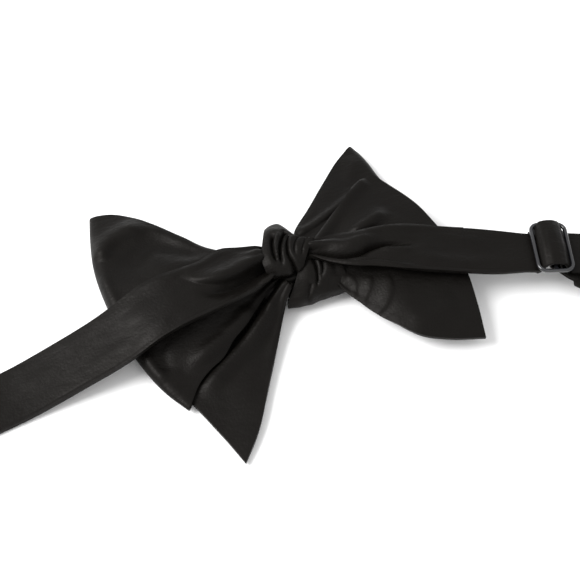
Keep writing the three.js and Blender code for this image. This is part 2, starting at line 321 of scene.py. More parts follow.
# Unbleached cotton canvas, plain woven: matt, with an open square grid of slubby threads.
def makeCanvas():
    material, tree, shader = newMaterial("unbleached canvas")
    cloth = addNode(tree, "UVMap", uv_map="cloth")
    threads = []
    for direction in ("X", "Y"):
        threads.append(
            addNode(
                tree,
                "TexWave",
                {"Vector": cloth.outputs["UV"], "Scale": 1 / (0.6 * mm * math.tau) * 2, "Distortion": 1.5},
                bands_direction=direction,
            )
        )
    grid = addNode(
        tree, "Math", {0: threads[0].outputs["Fac"], 1: threads[1].outputs["Fac"]}, operation="MAXIMUM"
    )
    shade = addNode(
        tree,
        "Mix",
        {"Factor": grid.outputs[0], "A": linear("#a99c82"), "B": linear("#d9cfb8")},
        data_type="RGBA",
    )
    bump = addNode(tree, "Bump", {"Strength": 0.5, "Distance": 0.15 * mm, "Height": grid.outputs[0]})
    shader.inputs["Roughness"].default_value = 0.92
    tree.links.new(shade.outputs[2], shader.inputs["Base Color"])
    tree.links.new(bump.outputs[0], shader.inputs["Normal"])
    return material


# Spun polyester sewing thread, packed side by side in a bar tack: matt black ribs.
def makeThread():
    material, tree, shader = newMaterial("black sewing thread")
    cloth = addNode(tree, "UVMap", uv_map="cloth")
    twist = addNode(
        tree,
        "TexWave",
        {"Vector": cloth.outputs["UV"], "Scale": 1 / (0.4 * mm * math.tau) * 2, "Distortion": 0.6},
        bands_direction="DIAGONAL",
    )
    shade = addNode(
        tree,
        "Mix",
        {"Factor": twist.outputs["Fac"], "A": linear("#08080a"), "B": linear("#1d1c1f")},
        data_type="RGBA",
    )
    bump = addNode(tree, "Bump", {"Strength": 0.6, "Distance": 0.12 * mm, "Height": twist.outputs["Fac"]})
    shader.inputs["Roughness"].default_value = 0.75
    tree.links.new(shade.outputs[2], shader.inputs["Base Color"])
    tree.links.new(bump.outputs[0], shader.inputs["Normal"])
    return material


# Steel wire with a baked black enamel: a glossy skin with a slight orange peel,
# a little duller where cloth rubs it.
def makeEnamel():
    material, tree, shader = newMaterial("black enamelled wire")
    place = addNode(tree, "TexCoord")
    peel = addNode(
        tree, "TexNoise", {"Vector": place.outputs["Object"], "Scale": 1 / (0.7 * mm), "Detail": 2}
    )
    rubbed = addNode(
        tree, "TexNoise", {"Vector": place.outputs["Object"], "Scale": 1 / (5 * mm), "Detail": 3}
    )
    shade = addNode(
        tree,
        "Mix",
        {"Factor": rubbed.outputs[0], "A": linear("#0b0b0e"), "B": linear("#232327")},
        data_type="RGBA",
    )
    dull = addNode(
        tree,
        "MapRange",
        {"Value": rubbed.outputs[0], "From Min": 0.35, "From Max": 0.7, "To Min": 0.12, "To Max": 0.3},
    )
    bump = addNode(tree, "Bump", {"Strength": 0.15, "Distance": 0.05 * mm, "Height": peel.outputs[0]})
    shader.inputs["Coat Weight"].default_value = 0.6
    shader.inputs["Coat Roughness"].default_value = 0.08
    tree.links.new(shade.outputs[2], shader.inputs["Base Color"])
    tree.links.new(dull.outputs[0], shader.inputs["Roughness"])
    tree.links.new(bump.outputs[0], shader.inputs["Normal"])
    return material


satin, canvas, thread, enamel = makeSatin(), makeCanvas(), makeThread(), makeEnamel()
print("materials made")


# Wings: each is a blade's free end or its folded loop. s runs from the knot to the end, v up the wing.
def plan(edges, s, v):
    lower, upper, root, end = (edges[side] for side in ("lower", "upper", "root", "end"))
    low, high, near, far = through(lower, s), through(upper, s), through(root, v), through(end, v)
    s, v = s[:, None], v[:, None]
    corners = (1 - s) * ((1 - v) * np.array(root[0]) + v * np.array(root[-1]))
    corners = corners + s * ((1 - v) * np.array(end[0]) + v * np.array(end[-1]))
    return (1 - v) * low + v * high + (1 - s) * near + s * far - corners


def pleats(s, v, facts):  # gathers that fan out from the knot
    count, depth, shift = facts["pleats"]
    edge = between(0, 0.08, v) * between(0, 0.08, 1 - v)
    return depth * np.sin(math.tau * (count * v + shift)) * (1 - between(0.0, 0.75, s)) * edge


bladeThickness, canvasThickness = 1.4, 0.5
wallsApart = 140  # from a loop's lower wall to its upper one on the flat cloth
frontTailFacts = {
    "root": [(-2, -5), (-2, 5)],
    "lower": [(-2, -5), (-6.5, -10.5), (-11.3, -20.7), (-19.4, -37.8), (-29.1, -57.6), (-35, -66)],
    "end": [(-35, -66), (-40.6, -52.8), (-47, -39.6), (-56, -22), (-63, -6), (-66, 5)],
    "upper": [(-2, 5), (-30, 8), (-66, 5)],
    "pleats": (3.5, 0.5, 0.1),
    "cut": (72, 74, "gathered", ("floor",), 33),
    "coreCut": (68, 70, "gathered", ("frontTail",), 30),
    "folds": [
        (
            [(-4, -5.5), (-12, -12.2), (-19, -18.4), (-28, -25.4), (-40, -34.2), (-45, -38)],
            2.4, 3.6, 2.4, (0.02, 0.2),
        ),
        ([(-3, -5), (-12, -12.2), (-19, -18.4), (-26, -24)], 1.6, 2.8, 3.0, (0.02, 0.5)),
        ([(-9, -16), (-18, -32), (-27, -50)], -0.6, 4.0, 4.0, (0.2, 0.3)),
        ([(-14, -5.6), (-8.2, -3.2), (-3, -2.8)], 1.1, 0.9, 0.9, (0.2, 0.1)),
        ([(-15, -14), (-10, -8.8), (-5.8, -5.8), (-2.5, -4.4)], 1.2, 0.9, 0.9, (0.3, 0.1)),
    ],
}
frontLoopFacts = {
    "root": [(2, -4), (2, 15)],
    "lower": [(2, -4), (20, -8), (52, -18)],
    "end": [(52, -18), (50, 5), (46, 22), (42, 36.8), (38.7, 49.8), (36.3, 55.3)],
    "upper": [(2, 15), (6.5, 22.3), (12, 28.5), (19.4, 37.3), (27, 46.3), (36.3, 55.3)],
    "pleats": (3, 0.4, 0.3),
    "cut": (72, 118, "gathered", ("floor",), 60),
    "coreCut": (68, 112, "gathered", ("frontLoop",), 54),
    "folds": [
        ([(5, 18), (17, 23), (25, 27.4), (36, 36)], 1.3, 1.8, 1.1, (0.1, 0.5)),
        ([(28, 36), (34, 43), (36, 50)], 0.5, 3.0, 3.0, (0.3, 0.3)),
    ],
}
backLoopFacts = {
    "root": [(-2, 0.5), (-2, 6)],
    "lower": [
        (-2, 0.5), (-6.3, -1.2), (-14.2, -7.2), (-22.3, -16.2), (-28.5, -21.1), (-33.8, -26.6),
        (-37.5, -28.8), (-43.1, -33.4), (-48.4, -41.6),
    ],
    "end": [
        (-48.4, -41.6), (-54.4, -33.5), (-61.7, -18.3), (-66.9, 3.6), (-68.5, 23.5), (-67.3, 36),
        (-65.8, 45.5),
    ],
    "upper": [(-2, 6), (-14, 10.5), (-26.7, 17), (-36.1, 26.6), (-49.4, 38.8), (-58, 44), (-65.8, 45.5)],
    "pleats": (4, 0.5, 0.15),
    "cut": (88, 140, "gathered", ("frontTail",), 90),
    "coreCut": (84, 134, "gathered", ("backLoop",), 80),
    "folds": [
        ([(-66.6, 23), (-62.4, 29.9), (-56, 32.8), (-46, 33)], 2.2, 4.6, 2.4, (0.15, 0.3)),
        ([(-50, 34.5), (-43, 30.5), (-36, 24), (-28, 16.2)], 0.5, 1.5, 2.2, (0.2, 0.2)),
        ([(-28, 13), (-38, 20), (-47, 25), (-55.5, 19.5), (-60, 10)], -2.2, 5.0, 6, (0.2, 0.3)),
        ([(-25, 12.5), (-31, 10.5), (-36, 8.8), (-44, 7.5), (-56, 5.5)], -1.2, 3.2, 3.0, (0.2, 0.3)),
        ([(-16, -9.5), (-25, -16.8), (-33, -21.5), (-41, -25.5), (-48, -29)], 2.3, 2.6, 3.4, (0.2, 0.3)),
        ([(-52, -15), (-53, -21), (-52, -28)], -0.6, 2.4, 2.4, (0.3, 0.2)),
        ([(-58.7, -18), (-57.6, -24.6), (-54, -31)], 0.8, 1.6, 1.6, (0.3, 0.2)),
        ([(-66, 20), (-67, 12), (-64, 0)], 0.7, 2.5, 2.5, (0.3, 0.3)),
    ],
}
backTailFacts = {
    "root": [(8, -3), (6, 7)],
    "lower": [
        (8, -3), (13, -8.2), (14.5, -11), (16, -13.4), (18, -16), (22.5, -22.5), (28, -29.2),
        (34.6, -36.3), (44.4, -40.1), (56.8, -42.4),
    ],
    "end": [
        (56.8, -42.4), (58.1, -28.7), (58.6, -16.2), (54.4, 5.3), (50.3, 16.2), (43.4, 27.6),
        (38.5, 34.6),
    ],
    "upper": [(6, 7), (12.5, 13.2), (22.8, 22.7), (32.5, 31.6), (38.5, 34.6)],
    "pleats": (4, 0.25, 0.35),
    "cut": (80, 58, "gathered", ("frontLoop",), 30),
    "coreCut": (76, 54, "gathered", ("backTail",), 27),
    "folds": [
        ([(9, 9), (17.6, 17), (28.2, 27.4), (36, 33)], 1.2, 1.2, 2.4, (0.1, 0.1)),
        ([(20, 7.4), (28, 10.8), (35, 14.2), (40, 16.5)], 2.3, 2.8, 2.2, (0.3, 0.3)),
        ([(30.3, -10), (29.9, -17.1), (26.5, -21.7), (21.2, -24)], 0.55, 1.0, 3.0, (0.2, 0.2)),
        ([(24.9, -9), (23.2, -13.8), (19.4, -18)], 0.3, 0.8, 2.0, (0.2, 0.2)),
        ([(17.6, -6.6), (19, -11), (17, -15.2)], 0.25, 0.7, 1.6, (0.2, 0.2)),
        ([(12, 6.6), (20, 6.2), (28, 7.2), (36, 7.8), (43, 7)], -1.2, 2.0, 3.0, (0.2, 0.4)),
        ([(52, -24), (42, -30), (31, -30)], 0.9, 4, 4, (0.3, 0.3)),
    ],
}


def frontTailHeight(x, y):
    gather = 3.2 * np.exp(-((x + 5) ** 2 / 50 + (y + 4) ** 2 / 32))
    return 5.4 + 0.0647 * x - 1.6 * (np.maximum(-y, 0) / 66) ** 2 + gather


def backTailHeight(x, y):
    puff = 1.6 * np.exp(-((x - 36) ** 2 + (y - 2) ** 2) / (2 * 13**2))
    drop = (1.8 + 0.3 * np.maximum(-y - 3, 0)) * (1 - between(8, 36, x))
    return 12.1 - 0.042 * x - 3.0 * (np.maximum(-y, 0) / 41) ** 2 + puff - drop


def tail(facts, height, seed, inset=0):
    def place(u, v):
        s, w = u * (1 - inset), inset + v * (1 - 2 * inset)
        flat = plan(facts, s, w)
        x, y = flat.T
        rise = folds(x, y, facts["folds"]) + pleats(s, w, facts) + 0.22 * crumple(x, y, 16, seed)
        return np.column_stack([x, y, height(x, y) + rise]), flat

    return place


def loop(facts, levels, seed, inset=0):
    # One sheet: out along the lower wall, round the end fold and back along the upper wall.
    nose = 0.05

    def place(u, v):
        w = inset + v * (1 - 2 * inset)
        across = 2 * u - 1
        turn = np.clip(np.abs(across) / nose, 0, 1) * math.pi / 2
        straight = np.clip((np.abs(across) - nose) / (1 - nose), 0, 1)
        end = 0.045
        s = np.where(straight > 0, (1 - end) * (1 - straight), 1 - end * (1 - np.cos(turn)))
        side = np.sign(across) * np.sin(turn)
        s = s * (1 - inset)
        flat = plan(facts, s, w)
        x, y = flat.T
        low, high = levels(x, y, s, w)
        upper = folds(x, y, facts["folds"]) + pleats(s, w, facts) + 0.25 * crumple(x, y, 17, seed)
        lower = 0.35 * crumple(x, y, 19, seed + 1)
        middle, half = (low + high) / 2, (high - low) / 2 - inset * 6
        relief = np.where(side > 0, upper * side, lower * -side)
        cloth = np.column_stack([x + np.where(side > 0, 0, wallsApart), y])
        return np.column_stack([x, y, middle + side * half + relief]), cloth

    return place


def frontLoopLevels(x, y, s, v):
    gather = between(0.0, 0.35, s)
    low = 3.5 - 2.45 * gather
    return low, low + 1.6 + (1.6 + 2.2 * 4 * v * (1 - v)) * gather


def backLoopLevels(x, y, s, v):
    gather = between(0.0, 0.4, s)
    low = 8.1 + 0.0734 * x - 2.5 * (1 - between(0, 0.4, v)) * gather
    puff = 2.4 * np.exp(-((x + 38) ** 2 + (y + 3) ** 2) / (2 * 15**2))
    pillow = 1.35 + (1.0 * v + 3.2 * np.sin(math.pi * np.clip(v, 0, 1)) ** 0.8) * gather
    return low, low + pillow + puff * gather


wings = (
    ("frontTail", frontTailFacts, tail, frontTailHeight, 110, "front_tail", 3),
    ("frontLoop", frontLoopFacts, loop, frontLoopLevels, 190, "front_loop", 5),
    ("backLoop", backLoopFacts, loop, backLoopLevels, 230, "back_loop", 8),
    ("backTail", backTailFacts, tail, backTailHeight, 120, "back_tail", 11),
)
for name, facts, kind, shape, columns, node, seed in wings:
    wing = clothGrid(name, columns, 110, kind(facts, shape, seed))
    thicken(wing, bladeThickness, 0.5)
    finishPiece(wing, satin, "black_satin", (node + "_shell",), body="bow", cut=facts["cut"])
    core = clothGrid(name + "Interlining", columns // 2, 50, kind(facts, shape, seed, inset=0.03))
    thicken(core, canvasThickness, 0)
    finishPiece(
        core, canvas, "canvas_interlining", (node + "_interlining",), body="bow", cut=facts["coreCut"]
    )
print("wings made")


# Knot: two closed turns round the pinched waist of the blades. Each ring row is y, z, left x, right x.
wrapFacts = {
    "ring": [
        (3, 1.2, -9, 5), (11, 1.6, -9, 5), (16.5, 4, -8, 4), (19.6, 8.5, -5.5, 2.2), (19, 12.6, -6.2, 3),
        (15, 15.8, -7.8, 4.8), (8.5, 17.2, -10, 8.4), (3.4, 17.2, -11.5, 5.4), (-0.4, 15.9, -11.2, 3.2),
        (-2.4, 13.4, -10.6, 2), (-1.8, 10.6, -10, 1.4), (0.8, 8.6, -9, 2), (1.2, 5.2, -9, 3),
        (0.4, 2.6, -9, 4), (3, 1.2, -9, 5),
    ],
    "grooves": [
        ([(-4.6, 13.2), (-6.2, 9.1), (-6.9, 5.3), (-6.6, -0.4)], -1.9, 0.7, 1.0, (0.15, 0.2)),
        ([(0.3, 14.4), (-2.2, 10.5), (-4.4, 5.6), (-5.1, 1.8), (-5.0, -1.1)], -2.5, 0.75, 0.8, (0.1, 0.2)),
        ([(1.2, 12.8), (-1.3, 7.4), (-2.0, 3.2), (-1.1, -0.7), (-0.2, -4.9)], -1.8, 0.65, 1.2, (0.15, 0.1)),
        ([(-2.6, 12.6), (-4.6, 9), (-5.8, 4.6), (-5.9, 0.6)], 0.7, 0.8, 0.8, (0.2, 0.3)),
        ([(0.2, 12.2), (-2.8, 6.2), (-3.6, 2)], 0.8, 0.8, 0.8, (0.2, 0.3)),
        ([(4.2, 11), (0.6, 4.5), (0.2, 0.7)], -0.9, 0.6, 0.8, (0.2, 0.3)),
        ([(6.4, 9.4), (3.4, 4.1), (2.2, 0.3)], -0.7, 0.6, 0.6, (0.3, 0.3)),
    ],
    "cut": (16, 66, "gathered", ("backWaist", "frontWaist")),
    "crown": 1.3,
    "slant": 0,
    "backSlant": -6.5,
}
hitchFacts = {
    "ring": [
        (0, 1.3, -2, 13), (6, 1.5, -2, 13), (9.5, 4, -1, 13), (9.5, 9, 0, 13.4), (6, 12.4, 1, 13.8),
        (1, 13.2, 1.5, 14.8), (-4, 12.2, -0.6, 16.2), (-8, 9.8, -3.4, 16.6), (-10.8, 6.4, -5.8, 15.6),
        (-10.8, 3.8, -5.8, 15), (-8, 1.7, -5, 14.4), (0, 1.3, -2, 13),
    ],
    "grooves": [
        ([(6.2, 2.3), (6.9, -2.3), (6.3, -6.4), (5.2, -9)], -1.3, 0.8, 0.7, (0.2, 0.2)),
        ([(9.7, 1.8), (9.2, -2.9), (7.4, -7.6)], -0.9, 0.7, 1.0, (0.2, 0.3)),
        ([(8.0, 1.8), (8.0, -2.9), (7.0, -6.6)], 0.35, 0.7, 0.7, (0.3, 0.3)),
        ([(4.3, -6.4), (2.8, -9), (1.5, -11.4)], -1.0, 0.7, 1.2, (0.2, 0.1)),
        ([(12.6, 0), (13.4, -4), (12.6, -8)], -0.5, 1.4, 1.4, (0.3, 0.3)),
    ],
    "cut": (16, 52, "gathered", ("frontWaist", "backTail")),
    "crown": 0.8,
    "slant": 1.2,
    "backSlant": 0,
}


def turnOfKnot(facts, seed):
    def place(u, v):
        y, z, left, right = through(facts["ring"], u).T
        near = through(facts["ring"], np.clip(u - 0.004, 0, 1))
        far = through(facts["ring"], np.clip(u + 0.004, 0, 1))
        outY, outZ = (far - near)[:, 1], -(far - near)[:, 0]
        length = np.hypot(outY, outZ)
        x = left + (right - left) * v
        edge = 1 - np.abs(2 * v - 1) ** 3
        upper = between(5, 8, z)
        rise = facts["crown"] * (edge - 0.6) + upper * folds(x, y, facts["grooves"])
        rise = rise + 0.22 * crumple(x, 0.45 * u * 75, 6, seed)
        seam = (u < 1e-6) | (u > 1 - 1e-6)
        closed = np.where(seam, facts["crown"] * (edge - 0.6), rise)
        y = y + facts["slant"] * between(0.35, 0.6, v) * between(2, 8, -y) * between(0.5, 2.5, z)
        y = y + facts["backSlant"] * between(0.42, 1, v) * between(7, 14, y)
        spots = np.column_stack([x, y + outY / length * closed, z + outZ / length * closed])
        spots[:, 1] = np.where(seam, facts["ring"][0][0], spots[:, 1])
        spots[:, 2] = np.where(seam, facts["ring"][0][1] - closed, spots[:, 2])
        return spots, np.column_stack([v * 20, u * 75])

    return place


for name, facts, node, seed in (
    ("knotWrap", wrapFacts, "knot_wrap", 21),
    ("knotHitch", hitchFacts, "knot_hitch", 25),
):
    turned = clothGrid(name, 170, 70, turnOfKnot(facts, seed))
    thicken(turned, 0.9, 0.35)
    finishPiece(turned, satin, "black_satin", (node,), body="bow", cut=facts["cut"])


# The pinched blades inside the knot.
waistFacts = {
    "frontWaist": {
        "node": "front_waist", "low": 3.0, "high": 7.2, "sides": (-5, 7),
        "cut": (31, 15, "gathered", ("frontTail",)),
    },
    "backWaist": {
        "node": "back_waist", "low": 7.8, "high": 11.2, "sides": (-3.5, 8),
        "cut": (29, 15, "gathered", ("frontWaist",)),
    },
}


def waist(facts):
    low, high, (near, far) = facts["low"], facts["high"], facts["sides"]

    def place(u, v):
        turn = v * math.tau
        flute = 1 + 0.09 * np.cos(7 * turn)
        y = (near + far) / 2 + (far - near) / 2 * np.cos(turn) * flute
        z = (low + high) / 2 + (high - low) / 2 * np.sin(turn) * flute
        x = -5 + 14 * u
        return np.column_stack([x, y, z]), np.column_stack([x, v * 30])

    return place


for name, facts in waistFacts.items():
    pinched = clothGrid(name, 20, 56, waist(facts))
    thicken(pinched, 0.8, 0)
    finishPiece(pinched, satin, "black_satin", (facts["node"],), body="bow", cut=facts["cut"])
print("knot made")


# Neck strap: a runs from the knot, c up the strap and h off it.
class Strap:
    def __init__(self, middleY, height, yaw, pitch, side):
        yaw, pitch = math.radians(yaw), math.radians(pitch)
        self.start = np.array([0, middleY, height], float)
        level = math.cos(pitch)
        self.run = np.array([level * math.cos(yaw), level * math.sin(yaw), -math.sin(pitch)])
        self.across = side * np.array([-math.sin(yaw), math.cos(yaw), 0])
        self.off = np.cross(self.run, self.across)
        self.off = self.off if self.off[2] > 0 else -self.off

    def spot(self, a, c, h):
        a, c, h = (np.asarray(value, float)[..., None] for value in (a, c, h))
        return self.start + a * self.run + c * self.across + h * self.off

    def point(self, a, c=0, h=0):
        return self.spot(a, c, h) * mm


plain = Strap(4, 15.2, 193.3, 0, -1)
adjust = Strap(6, 19.8, -14.4, 4.17, 1)

plainFacts = {
    "line": [
        (-4, -3.2), (4, -2.2), (9, -0.6), (14.5, 0.1), (25, 1), (38, 1.4), (48, 1), (57, -0.9),
        (66, -3.6), (75, -6.2),
        (84, -8.6), (95, -11.2), (108, -13.2), (122, -13.9), (145, -13.9), (162, -13.4), (176, -12.85),
    ],
    "high": [
        (-4, 5), (8, 7.6), (16, 10.6), (22, 12.9), (25, 12.9), (31, 11.1), (40, 11.5), (46, 12.4),
        (52, 12.9), (60, 12.2), (68, 11.2), (96, 10.8), (176, 10.5),
    ],
    "low": [
        (-4, 0.2), (2, 0.4), (6, 1.4), (9, 4.2), (12, 6.4), (18, 7.6), (25, 8.5), (34, 9.5), (57, 10.2),
        (66, 10.8), (96, 10.4), (176, 10.5),
    ],
    "folds": [
        (
            [(8, 2.9), (12, 2.5), (16, 1.8), (23, 0.7), (29.6, 1.3), (35, 3.9), (38, 7.0), (41, 10.0)],
            2.8, 4.4, 0.8, (0.1, 0.5),
        ),
        (
            [(8, 0.2), (13.7, -1.1), (18.7, -2.0), (24.5, -2.8), (31, -2.6), (40, -1.2)],
            -3.6, 1.9, 3.6, (0.1, 0.4),
        ),
        ([(6, -3.0), (12, -5.2), (18, -6.4)], 1.0, 1.2, 1.2, (0.1, 0.3)),
        ([(-2, -4), (6, -4.5), (12, -6.5)], -2.6, 2.5, 2.5, (0.0, 0.5)),
        ([(50, -9), (57, -2), (62, 8)], 0.5, 6, 6, (0.3, 0.3)),
        ([(16, 7.6), (23, 11.2), (31, 9.6), (40, 10), (52, 11.2), (66, 9.8)], 0.45, 1.3, 1.3, (0.2, 0.4)),
        ([(60, 9), (70, 2), (84, -3), (100, -5)], -0.35, 4, 4, (0.3, 0.3)),
        ([(74, 8), (92, 3), (110, 2)], 0.35, 3, 3, (0.3, 0.3)),
    ],
    "pleats": (4, 0.7),
    "seam": (16, 160),
}
adjustFacts = {
    "line": [
        (-4, -6.0), (4, -5.0), (12, -4.1), (22, -2.2), (33, -1.2), (45, -1.5), (60, -1.9), (74, -2.2),
        (90, -2.2),
    ],
    "high": [
        (-4, 2.5), (7, 3.0), (11, 4.3), (14, 5.2), (18, 5.6), (22.5, 5.8), (27, 7.0), (33, 8.4),
        (40, 9.5), (52, 9.6), (66, 9.6),
        (78, 8.8), (84, 8.3), (90, 8.3),
    ],
    "low": [
        (-4, 2.5), (6, 2.9), (10, 4.5), (16, 6.7), (21, 8.0), (29, 8.4), (38, 9.2), (50, 9.7), (64, 9.7),
        (76, 9.2), (84, 8.3), (90, 8.3),
    ],
    "folds": [
        (
            [
                (2, -0.6), (7, -1.6), (12, -2.7), (16, -3.9), (21, -4.2), (25, -2.8), (28, -0.9),
                (33, 0.9), (40, 1.7), (50, 2.2),
            ],
            -2.8, 1.5, 1.5, (0.02, 0.4),
        ),
        ([(4, 0.8), (12, 1.0), (19, 0.6), (25, 2.4), (33, 5.0)], 1.8, 2.4, 2.6, (0.1, 0.3)),
        (
            [(10, 3.0), (14, 4.0), (22, 4.6), (28, 6.2), (34, 7.5), (44, 8.5), (60, 8.4)],
            0.6, 1.1, 1.2, (0.2, 0.4),
        ),
        ([(5, -2.0), (12, -3.6), (17, -5.2), (22, -6.0), (32, -5.2)], 0.8, 0.6, 0.6, (0.1, 0.3)),
        (
            [(5, -2.6), (12, -4.6), (17, -6.3), (22, -7.5), (30, -7.3), (38, -8.0), (50, -8.6)],
            0.9, 0.6, 0.8, (0.1, 0.35),
        ),
        ([(30, -1), (36, -1.6), (44, -0.6)], 0.7, 1.0, 1.2, (0.3, 0.3)),
        ([(40, -4), (56, -5.5), (70, -5.0)], 0.4, 2.4, 2.4, (0.3, 0.3)),
        ([(44, 6.5), (58, 5.5), (72, 3)], 0.35, 3, 2, (0.3, 0.3)),
    ],
    "pleats": (3, 0.6),
    "seam": (34, 80),
}


def strapCloth(strap, facts, start, end, inset=0):
    def place(u, v):
        a = start + (end - start) * u
        high, low = table(facts["high"], a) - inset, table(facts["low"], a) - inset
        c = -low + (high + low) * v
        h = table(facts["line"], a) + folds(a, c, facts["folds"])
        count, depth = facts["pleats"]
        h = h + depth * np.sin(math.tau * (count * v + 0.2)) * (1 - between(2, 22, a))
        h = h + 0.2 * crumple(0.35 * a, c, 9, 31) * between(4, 16, a)
        first, last = facts["seam"]
        pressed = between(first, first + 10, a) * between(-last, 10 - last, -a)
        h = h - 0.14 * pressed * np.exp(-(((c + low + inset - 1.3) / 0.4) ** 2))
        return strap.spot(a, c, h), np.column_stack([a, c])

    return place


def addStrap(name, place, columns, rows, thickness, edge, material, slot, nodes, **holds):
    piece = clothGrid(name, columns, rows, place)
    thicken(piece, thickness, edge)
    finishPiece(piece, material, slot, nodes, **holds)
    return piece


strapThickness = 1.6
bend = ("bow", "left_strap", plain.point(14.5, 0, 0), plain.point(21, 0, 0))
addStrap(
    "leftStrap", strapCloth(plain, plainFacts, -4, 176), 260, 64, strapThickness, 0.55,
    satin, "black_satin", ("left_strap_root", "left_strap_shell"), bend=bend,
    cut=(21.5, 182, "laid", ("backLoop", "floor")),
)
addStrap(
    "leftStrapInterlining", strapCloth(plain, plainFacts, 8, 175, inset=0.8), 130, 30, canvasThickness, 0,
    canvas, "canvas_interlining", ("left_strap_interlining",), bend=bend,
    cut=(20, 168, "laid", ("leftStrap",)),
)

gatherEnd, sleeveStart, bar = 62, 50, 93
addStrap(
    "rightGather", strapCloth(adjust, adjustFacts, -4, gatherEnd), 130, 72, strapThickness, 0.55,
    satin, "black_satin", ("right_strap_root",),
    bend=("bow", "right_strap", adjust.point(12, 0, -4), adjust.point(19, 0, -4)),
    cut=(19, 70, "gathered", ("backTail",)),
)
strapEnd = bar - 4.8
stretch = ("right_strap", "slide", adjust.point(gatherEnd), adjust.point(strapEnd - 2))
addStrap(
    "rightStrap", strapCloth(adjust, adjustFacts, sleeveStart, strapEnd, inset=0.06), 90, 64,
    strapThickness - 0.12, 0.5,
    satin, "black_satin", ("right_strap_shell",), bend=stretch, cut=(19.5, 39, "laid", ("backTail",)),
)
addStrap(
    "rightStrapInterlining", strapCloth(adjust, adjustFacts, sleeveStart + 1, strapEnd - 1, inset=0.9),
    60, 30, canvasThickness, 0,
    canvas, "canvas_interlining", ("right_strap_interlining",), bend=stretch,
    cut=(16.5, 36, "laid", ("rightStrap",)),
)
print("strap made")


# Slide buckle end: everything here is turned a little about the buckle's middle,
# as it sits loose on the strap.
under, over, back = -2.2, 3.0, -4.3
slideFacts = {
    "skew": 4.5,
    "shift": 1.2,
    "crest": [
        (-6.6, under), (-5.9, under + 0.2), (-5.0, -0.9), (-4.3, 0.8), (-2.9, 2.5), (0, over + 0.2),
        (2.9, 2.5), (4.3, 0.8), (5.0, -0.9), (5.9, under + 0.2), (7.4, under),
    ],
    "fold": [
        (9, back), (6, back + 0.1), (2.6, -3.2), (0.2, -1.9), (-1.6, -1.2), (-2.0, 0), (-1.4, 1.4), (0, 1.9),
        (1.4, 1.3), (2.0, 0), (2.2, -1.6), (4, -2.9), (6, back + 1.0), (8, back + 0.9),
    ],
}


def skewed(a, c):
    turn = math.radians(slideFacts["skew"])
    da = a - bar
    across = slideFacts["shift"] + da * math.sin(turn) + c * math.cos(turn)
    return bar + da * math.cos(turn) - c * math.sin(turn), across


def turnedCloth(strap, path, middle, half, seed, skew=False, bow=0.0, swell=0.0, lean=0.0):
    def place(u, v):
        a, h = through(path, u).T
        c = half * (2 * v - 1) + swell * between(0.5, 2.5, h) * between(0.2, 1, v) + lean * np.maximum(a, 0)
        h = h + 0.12 * crumple(60 * u, c, 9, seed) - bow * (c / half) ** 2
        flat = np.column_stack([a * 1.0, c])
        a = a + middle
        if skew:
            a, c = skewed(a, c)
        return strap.spot(a, c, h), flat

    return place


addStrap(
    "slideCrest", turnedCloth(adjust, slideFacts["crest"], bar, 8.9, 41, skew=True, bow=0.7, swell=1.3),
    80, 40, 1.3, 0.4,
    satin, "black_satin", ("slide_strap_crest",), body="slide", cut=(18, 24, "folded", ("slideBuckle",)),
)
addStrap(
    "slideFold", turnedCloth(adjust, slideFacts["fold"], bar, 7.9, 43, skew=True, lean=-0.6),
    110, 30, 0.55, 0.2,
    satin, "black_satin", ("slide_sewn_fold",), body="slide", cut=(15, 30, "folded", ("slideBuckle",)),
)


def tackCloth(strap, middle, level, half, skew=False, shift=0):
    def place(u, v):
        a, c = middle + 1.8 * u, half * (2 * v - 1) + shift
        h = level + 0.12 * np.abs(np.sin(math.pi * 24 * v)) + 0.1 * np.sin(math.pi * u)
        flat = np.column_stack([1.8 * u, c])
        if skew:
            a, c = skewed(a, c)
        return strap.spot(a, c, h), flat

    return place


addStrap(
    "slideTack", tackCloth(adjust, bar + 6, back - 0.35, 5.5, skew=True, shift=-4.1), 6, 96, 0.3, 0,
    thread, "black_thread", ("slide_bar_tack",), body="slide",
)


def wirePiece(name, paths, radius, nodes, body, strap, middle, level, skew=False):
    # Each path is a list of (a, c, h) along the wire, and whether it joins up with its start.
    made = bmesh.new()
    for path, closed in paths:
        line = bpy.data.curves.new(name, "CURVE")
        line.dimensions, line.bevel_depth = "3D", radius * mm
        line.bevel_resolution, line.use_fill_caps = 5, True
        run = line.splines.new("POLY")
        run.points.add(len(path) - 1)
        run.use_cyclic_u = closed
        for point, (a, c, h) in zip(run.points, path):
            a, c = skewed(middle + a, c) if skew else (middle + a, c)
            point.co = (*(strap.point(a, c, level + h)), 1)
        drawn = bpy.data.objects.new(name + "Line", line)
        scene.collection.objects.link(drawn)
        bpy.context.view_layer.update()
        mesh = bpy.data.meshes.new_from_object(drawn)
        made.from_mesh(mesh)
        bpy.data.objects.remove(drawn)
        bpy.data.curves.remove(line)
        bpy.data.meshes.remove(mesh)
    bmesh.ops.remove_doubles(made, verts=made.verts, dist=1e-6)
    bmesh.ops.recalc_face_normals(made, faces=made.faces)
    mesh = bpy.data.meshes.new(name)
    made.to_mesh(mesh)
    made.free()
    piece = bpy.data.objects.new(name, mesh)
    scene.collection.objects.link(piece)
    mesh.shade_smooth()
    mesh.set_sharp_from_angle(angle=math.radians(50))
    finishPiece(piece, enamel, "black_metal", nodes, body=body)
    return piece


def roundedFrame(length, width, corner):  # corner points of a wire frame's middle line
    points = []
    for signA, signC, start in ((1, 1, 0), (-1, 1, 90), (-1, -1, 180), (1, -1, 270)):
        for step in range(7):
            angle = math.radians(start + 15 * step)
            a = signA * (width / 2 - corner) + corner * math.cos(angle)
            c = signC * (length / 2 - corner) + corner * math.sin(angle)
            points.append((a, c, 0))
    return points


